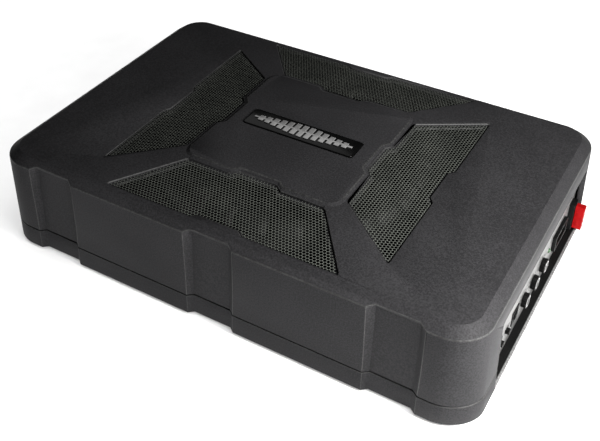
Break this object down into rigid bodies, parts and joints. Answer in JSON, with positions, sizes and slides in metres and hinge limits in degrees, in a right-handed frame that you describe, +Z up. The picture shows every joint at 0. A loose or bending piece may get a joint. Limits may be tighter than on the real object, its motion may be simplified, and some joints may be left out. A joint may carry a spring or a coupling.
{
  "type": "powered car subwoofer",
  "caption": "Flat amplified subwoofer box for under a car seat: domed lid with four grilles round a plateau, ribbed sides, and an end panel with knobs, switches, sockets and a blade fuse.",
  "frame": {"origin": "under the middle of the object's overall box (fuse head included), at the level the rubber feet stand on", "axes": "+X along the long side, towards the control end; +Z up through the lid; +Y towards the far long side, so -Y is the long side that the picture shows"},
  "size_m": [0.351, 0.236, 0.0818],
  "materials": {
    "shell_plastic": "fine-grained matte dark charcoal",
    "gasket_rubber": "soft black sealing strip",
    "foot_rubber": "matt black rubber",
    "grille_steel": "perforated sheet, greenish grey",
    "badge_black": "black gloss",
    "badge_silver": "satin",
    "screw_black": "black oxide",
    "pan_plastic": "plain black",
    "basket_steel": "black enamel on pressed steel",
    "surround_rubber": "smooth butyl rubber",
    "cone_plastic": "talc-filled polypropylene",
    "dust_cap_plastic": "semi-gloss",
    "spider_cloth": "resin-dipped woven cloth",
    "ring_board": "pressed fibre",
    "former_film": "amber film on paper",
    "copper_wire": "enamelled copper winding",
    "ferrite": "dull grey ceramic magnet",
    "zinc_steel": "zinc plated",
    "black_moulding": "plain black moulding",
    "panel_silver": "satin silver",
    "knob_black": "black with bright end faces",
    "lever_black": "black",
    "pot_green": "green thermoset body",
    "lamp_clear": "clear green lens",
    "fuse_red": "bright red, slightly clear",
    "board_green": "green solder mask",
    "capacitor_sleeve": "printed heat-shrink sleeve, dark blue",
    "inductor_copper": "copper wire on a ring core",
    "transformer_core": "laminated iron and tape",
    "heat_sink_alloy": "extruded, satin",
    "lead_red": "red insulated cable",
    "lead_black": "black insulated cable"
  },
  "bodies": {
    "housing": {"top_shell": "shell_plastic", "bottom_shell": "shell_plastic", "shell_gasket": "gasket_rubber", "rubber_foot_1": "foot_rubber", "rubber_foot_2": "foot_rubber", "rubber_foot_3": "foot_rubber", "rubber_foot_4": "foot_rubber", "grille_back": "grille_steel", "grille_left": "grille_steel", "grille_front": "grille_steel", "grille_right": "grille_steel", "badge_plate": "badge_black", "badge_emblem": "badge_silver", "case_screw_1": "screw_black", "case_screw_2": "screw_black", "case_screw_3": "screw_black", "case_screw_4": "screw_black", "woofer_screw_1": "screw_black", "woofer_screw_2": "screw_black", "woofer_screw_3": "screw_black", "woofer_screw_4": "screw_black", "baffle_pan": "pan_plastic", "woofer_basket": "basket_steel", "cone_surround": "surround_rubber", "spider": "spider_cloth", "spider_ring": "ring_board", "magnet": "ferrite", "top_plate": "zinc_steel", "yoke": "zinc_steel", "phase_switch_body": "zinc_steel", "turn_on_switch_body": "zinc_steel", "terminal_block": "black_moulding", "remote_jack": "black_moulding", "harness_socket": "black_moulding", "fuse_holder": "black_moulding", "transistor_1": "black_moulding", "transistor_2": "black_moulding", "end_panel": "panel_silver", "gain_pot": "pot_green", "bass_boost_pot": "pot_green", "crossover_pot": "pot_green", "power_led": "lamp_clear", "amp_board": "board_green", "capacitor_1": "capacitor_sleeve", "capacitor_2": "capacitor_sleeve", "inductor": "inductor_copper", "transformer": "transformer_core", "heat_sink": "heat_sink_alloy", "lead_red": "lead_red", "lead_black": "lead_black"},
    "cone_assembly": {"cone": "cone_plastic", "dust_cap": "dust_cap_plastic", "coil_former": "former_film", "coil_winding": "copper_wire"},
    "gain_dial": {"gain_knob": "knob_black"},
    "bass_boost_dial": {"bass_boost_knob": "knob_black"},
    "crossover_dial": {"crossover_knob": "knob_black"},
    "phase_slider": {"phase_switch_lever": "lever_black"},
    "turn_on_slider": {"turn_on_switch_lever": "lever_black"},
    "pulled_fuse": {"fuse": "fuse_red"}
  },
  "joints": [
    {"name": "cone_travel", "type": "slide", "parent": "housing", "child": "cone_assembly", "axis": [0, 0, 1], "range_m": [-0.005, 0.005], "stiffness_N_per_m": 5000, "deforming": ["cone_surround", "spider"]},
    {"name": "gain_turn", "type": "hinge", "parent": "housing", "child": "gain_dial", "pos_m": [0.16525, -0.013, 0.0195], "axis": [1, 0, 0], "range_deg": [-140, 140]},
    {"name": "bass_boost_turn", "type": "hinge", "parent": "housing", "child": "bass_boost_dial", "pos_m": [0.16525, 0.006, 0.0195], "axis": [1, 0, 0], "range_deg": [-140, 140]},
    {"name": "crossover_turn", "type": "hinge", "parent": "housing", "child": "crossover_dial", "pos_m": [0.16525, 0.025, 0.0195], "axis": [1, 0, 0], "range_deg": [-140, 140]},
    {"name": "phase_slide", "type": "slide", "parent": "housing", "child": "phase_slider", "axis": [0, 1, 0], "range_m": [0, 0.003]},
    {"name": "turn_on_slide", "type": "slide", "parent": "housing", "child": "turn_on_slider", "axis": [0, 1, 0], "range_m": [0, 0.003]},
    {"name": "fuse_pull", "type": "slide", "parent": "housing", "child": "pulled_fuse", "axis": [1, 0, 0], "range_m": [0, 0.02]}
  ]
}
